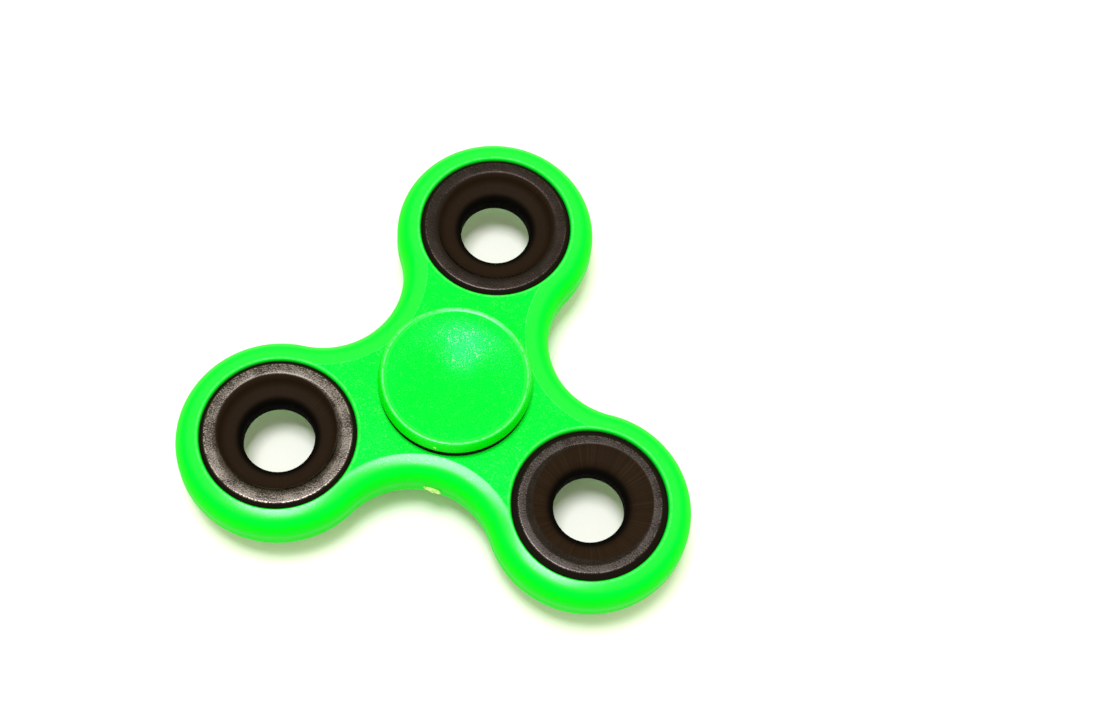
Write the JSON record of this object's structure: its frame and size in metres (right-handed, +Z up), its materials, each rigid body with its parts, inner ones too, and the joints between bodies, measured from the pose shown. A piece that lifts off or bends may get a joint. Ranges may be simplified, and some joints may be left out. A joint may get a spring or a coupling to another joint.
{
  "type": "fidget spinner",
  "caption": "Lobed hand spinner that turns on a central ball bearing between finger caps, with a turned steel weight ring set in each lobe.",
  "frame": {"origin": "centre of the bottom cap's flat face, on the spin axis", "axes": "+Z up along the spin axis towards the top cap; +Y points at lobe 1; lobes 2 and 3 are at 210 and 330 degrees from +X"},
  "size_m": [0.0736, 0.0677, 0.0147],
  "materials": {
    "green_plastic": "moulded neon green, fine satin texture on the flat faces and glossier rounded sides",
    "cap_plastic": "moulded neon green, fine matte grain",
    "dark_ring_steel": "turned and tumbled, dark nickel plated, with fine scratches",
    "bearing_steel": "ground and lightly oiled",
    "ball_steel": "polished",
    "cage_steel": "pressed sheet, satin",
    "shield_steel": "pressed sheet, satin"
  },
  "bodies": {
    "hub": {"top_cap": "cap_plastic", "bottom_cap": "cap_plastic", "bearing_inner_race": "bearing_steel"},
    "rotor": {"body_frame": "green_plastic", "weight_ring_1": "dark_ring_steel", "weight_ring_2": "dark_ring_steel", "weight_ring_3": "dark_ring_steel", "bearing_outer_race": "bearing_steel", "shield_upper": "shield_steel", "shield_lower": "shield_steel"},
    "cage": {"cage_upper": "cage_steel", "cage_lower": "cage_steel", "cage_rivet_1": "cage_steel", "cage_rivet_2": "cage_steel", "cage_rivet_3": "cage_steel", "cage_rivet_4": "cage_steel", "cage_rivet_5": "cage_steel", "cage_rivet_6": "cage_steel", "cage_rivet_7": "cage_steel"},
    "ball_1": {"bearing_ball_1": "ball_steel"},
    "ball_2": {"bearing_ball_2": "ball_steel"},
    "ball_3": {"bearing_ball_3": "ball_steel"},
    "ball_4": {"bearing_ball_4": "ball_steel"},
    "ball_5": {"bearing_ball_5": "ball_steel"},
    "ball_6": {"bearing_ball_6": "ball_steel"},
    "ball_7": {"bearing_ball_7": "ball_steel"}
  },
  "joints": [
    {"name": "rotor_spin", "type": "hinge", "parent": "hub", "child": "rotor", "pos_m": [0, 0, 0.00735], "axis": [0, 0, 1], "continuous": true},
    {"name": "cage_orbit", "type": "hinge", "parent": "hub", "child": "cage", "pos_m": [0, 0, 0.00735], "axis": [0, 0, 1], "continuous": true},
    {"name": "ball_spin_1", "type": "hinge", "parent": "cage", "child": "ball_1", "pos_m": [0.0075, 0, 0.00735], "axis": [0, 0, 1], "continuous": true},
    {"name": "ball_spin_2", "type": "hinge", "parent": "cage", "child": "ball_2", "pos_m": [0.00468, 0.00586, 0.00735], "axis": [0, 0, 1], "continuous": true},
    {"name": "ball_spin_3", "type": "hinge", "parent": "cage", "child": "ball_3", "pos_m": [-0.00167, 0.00731, 0.00735], "axis": [0, 0, 1], "continuous": true},
    {"name": "ball_spin_4", "type": "hinge", "parent": "cage", "child": "ball_4", "pos_m": [-0.00676, 0.00325, 0.00735], "axis": [0, 0, 1], "continuous": true},
    {"name": "ball_spin_5", "type": "hinge", "parent": "cage", "child": "ball_5", "pos_m": [-0.00676, -0.00325, 0.00735], "axis": [0, 0, 1], "continuous": true},
    {"name": "ball_spin_6", "type": "hinge", "parent": "cage", "child": "ball_6", "pos_m": [-0.00167, -0.00731, 0.00735], "axis": [0, 0, 1], "continuous": true},
    {"name": "ball_spin_7", "type": "hinge", "parent": "cage", "child": "ball_7", "pos_m": [0.00468, -0.00586, 0.00735], "axis": [0, 0, 1], "continuous": true}
  ],
  "couplings": [
    {"joint": "cage_orbit", "follows": "rotor_spin", "ratio": 0.6323},
    {"joint": "ball_spin_1", "follows": "rotor_spin", "ratio": 1.7574},
    {"joint": "ball_spin_2", "follows": "rotor_spin", "ratio": 1.7574},
    {"joint": "ball_spin_3", "follows": "rotor_spin", "ratio": 1.7574},
    {"joint": "ball_spin_4", "follows": "rotor_spin", "ratio": 1.7574},
    {"joint": "ball_spin_5", "follows": "rotor_spin", "ratio": 1.7574},
    {"joint": "ball_spin_6", "follows": "rotor_spin", "ratio": 1.7574},
    {"joint": "ball_spin_7", "follows": "rotor_spin", "ratio": 1.7574}
  ]
}
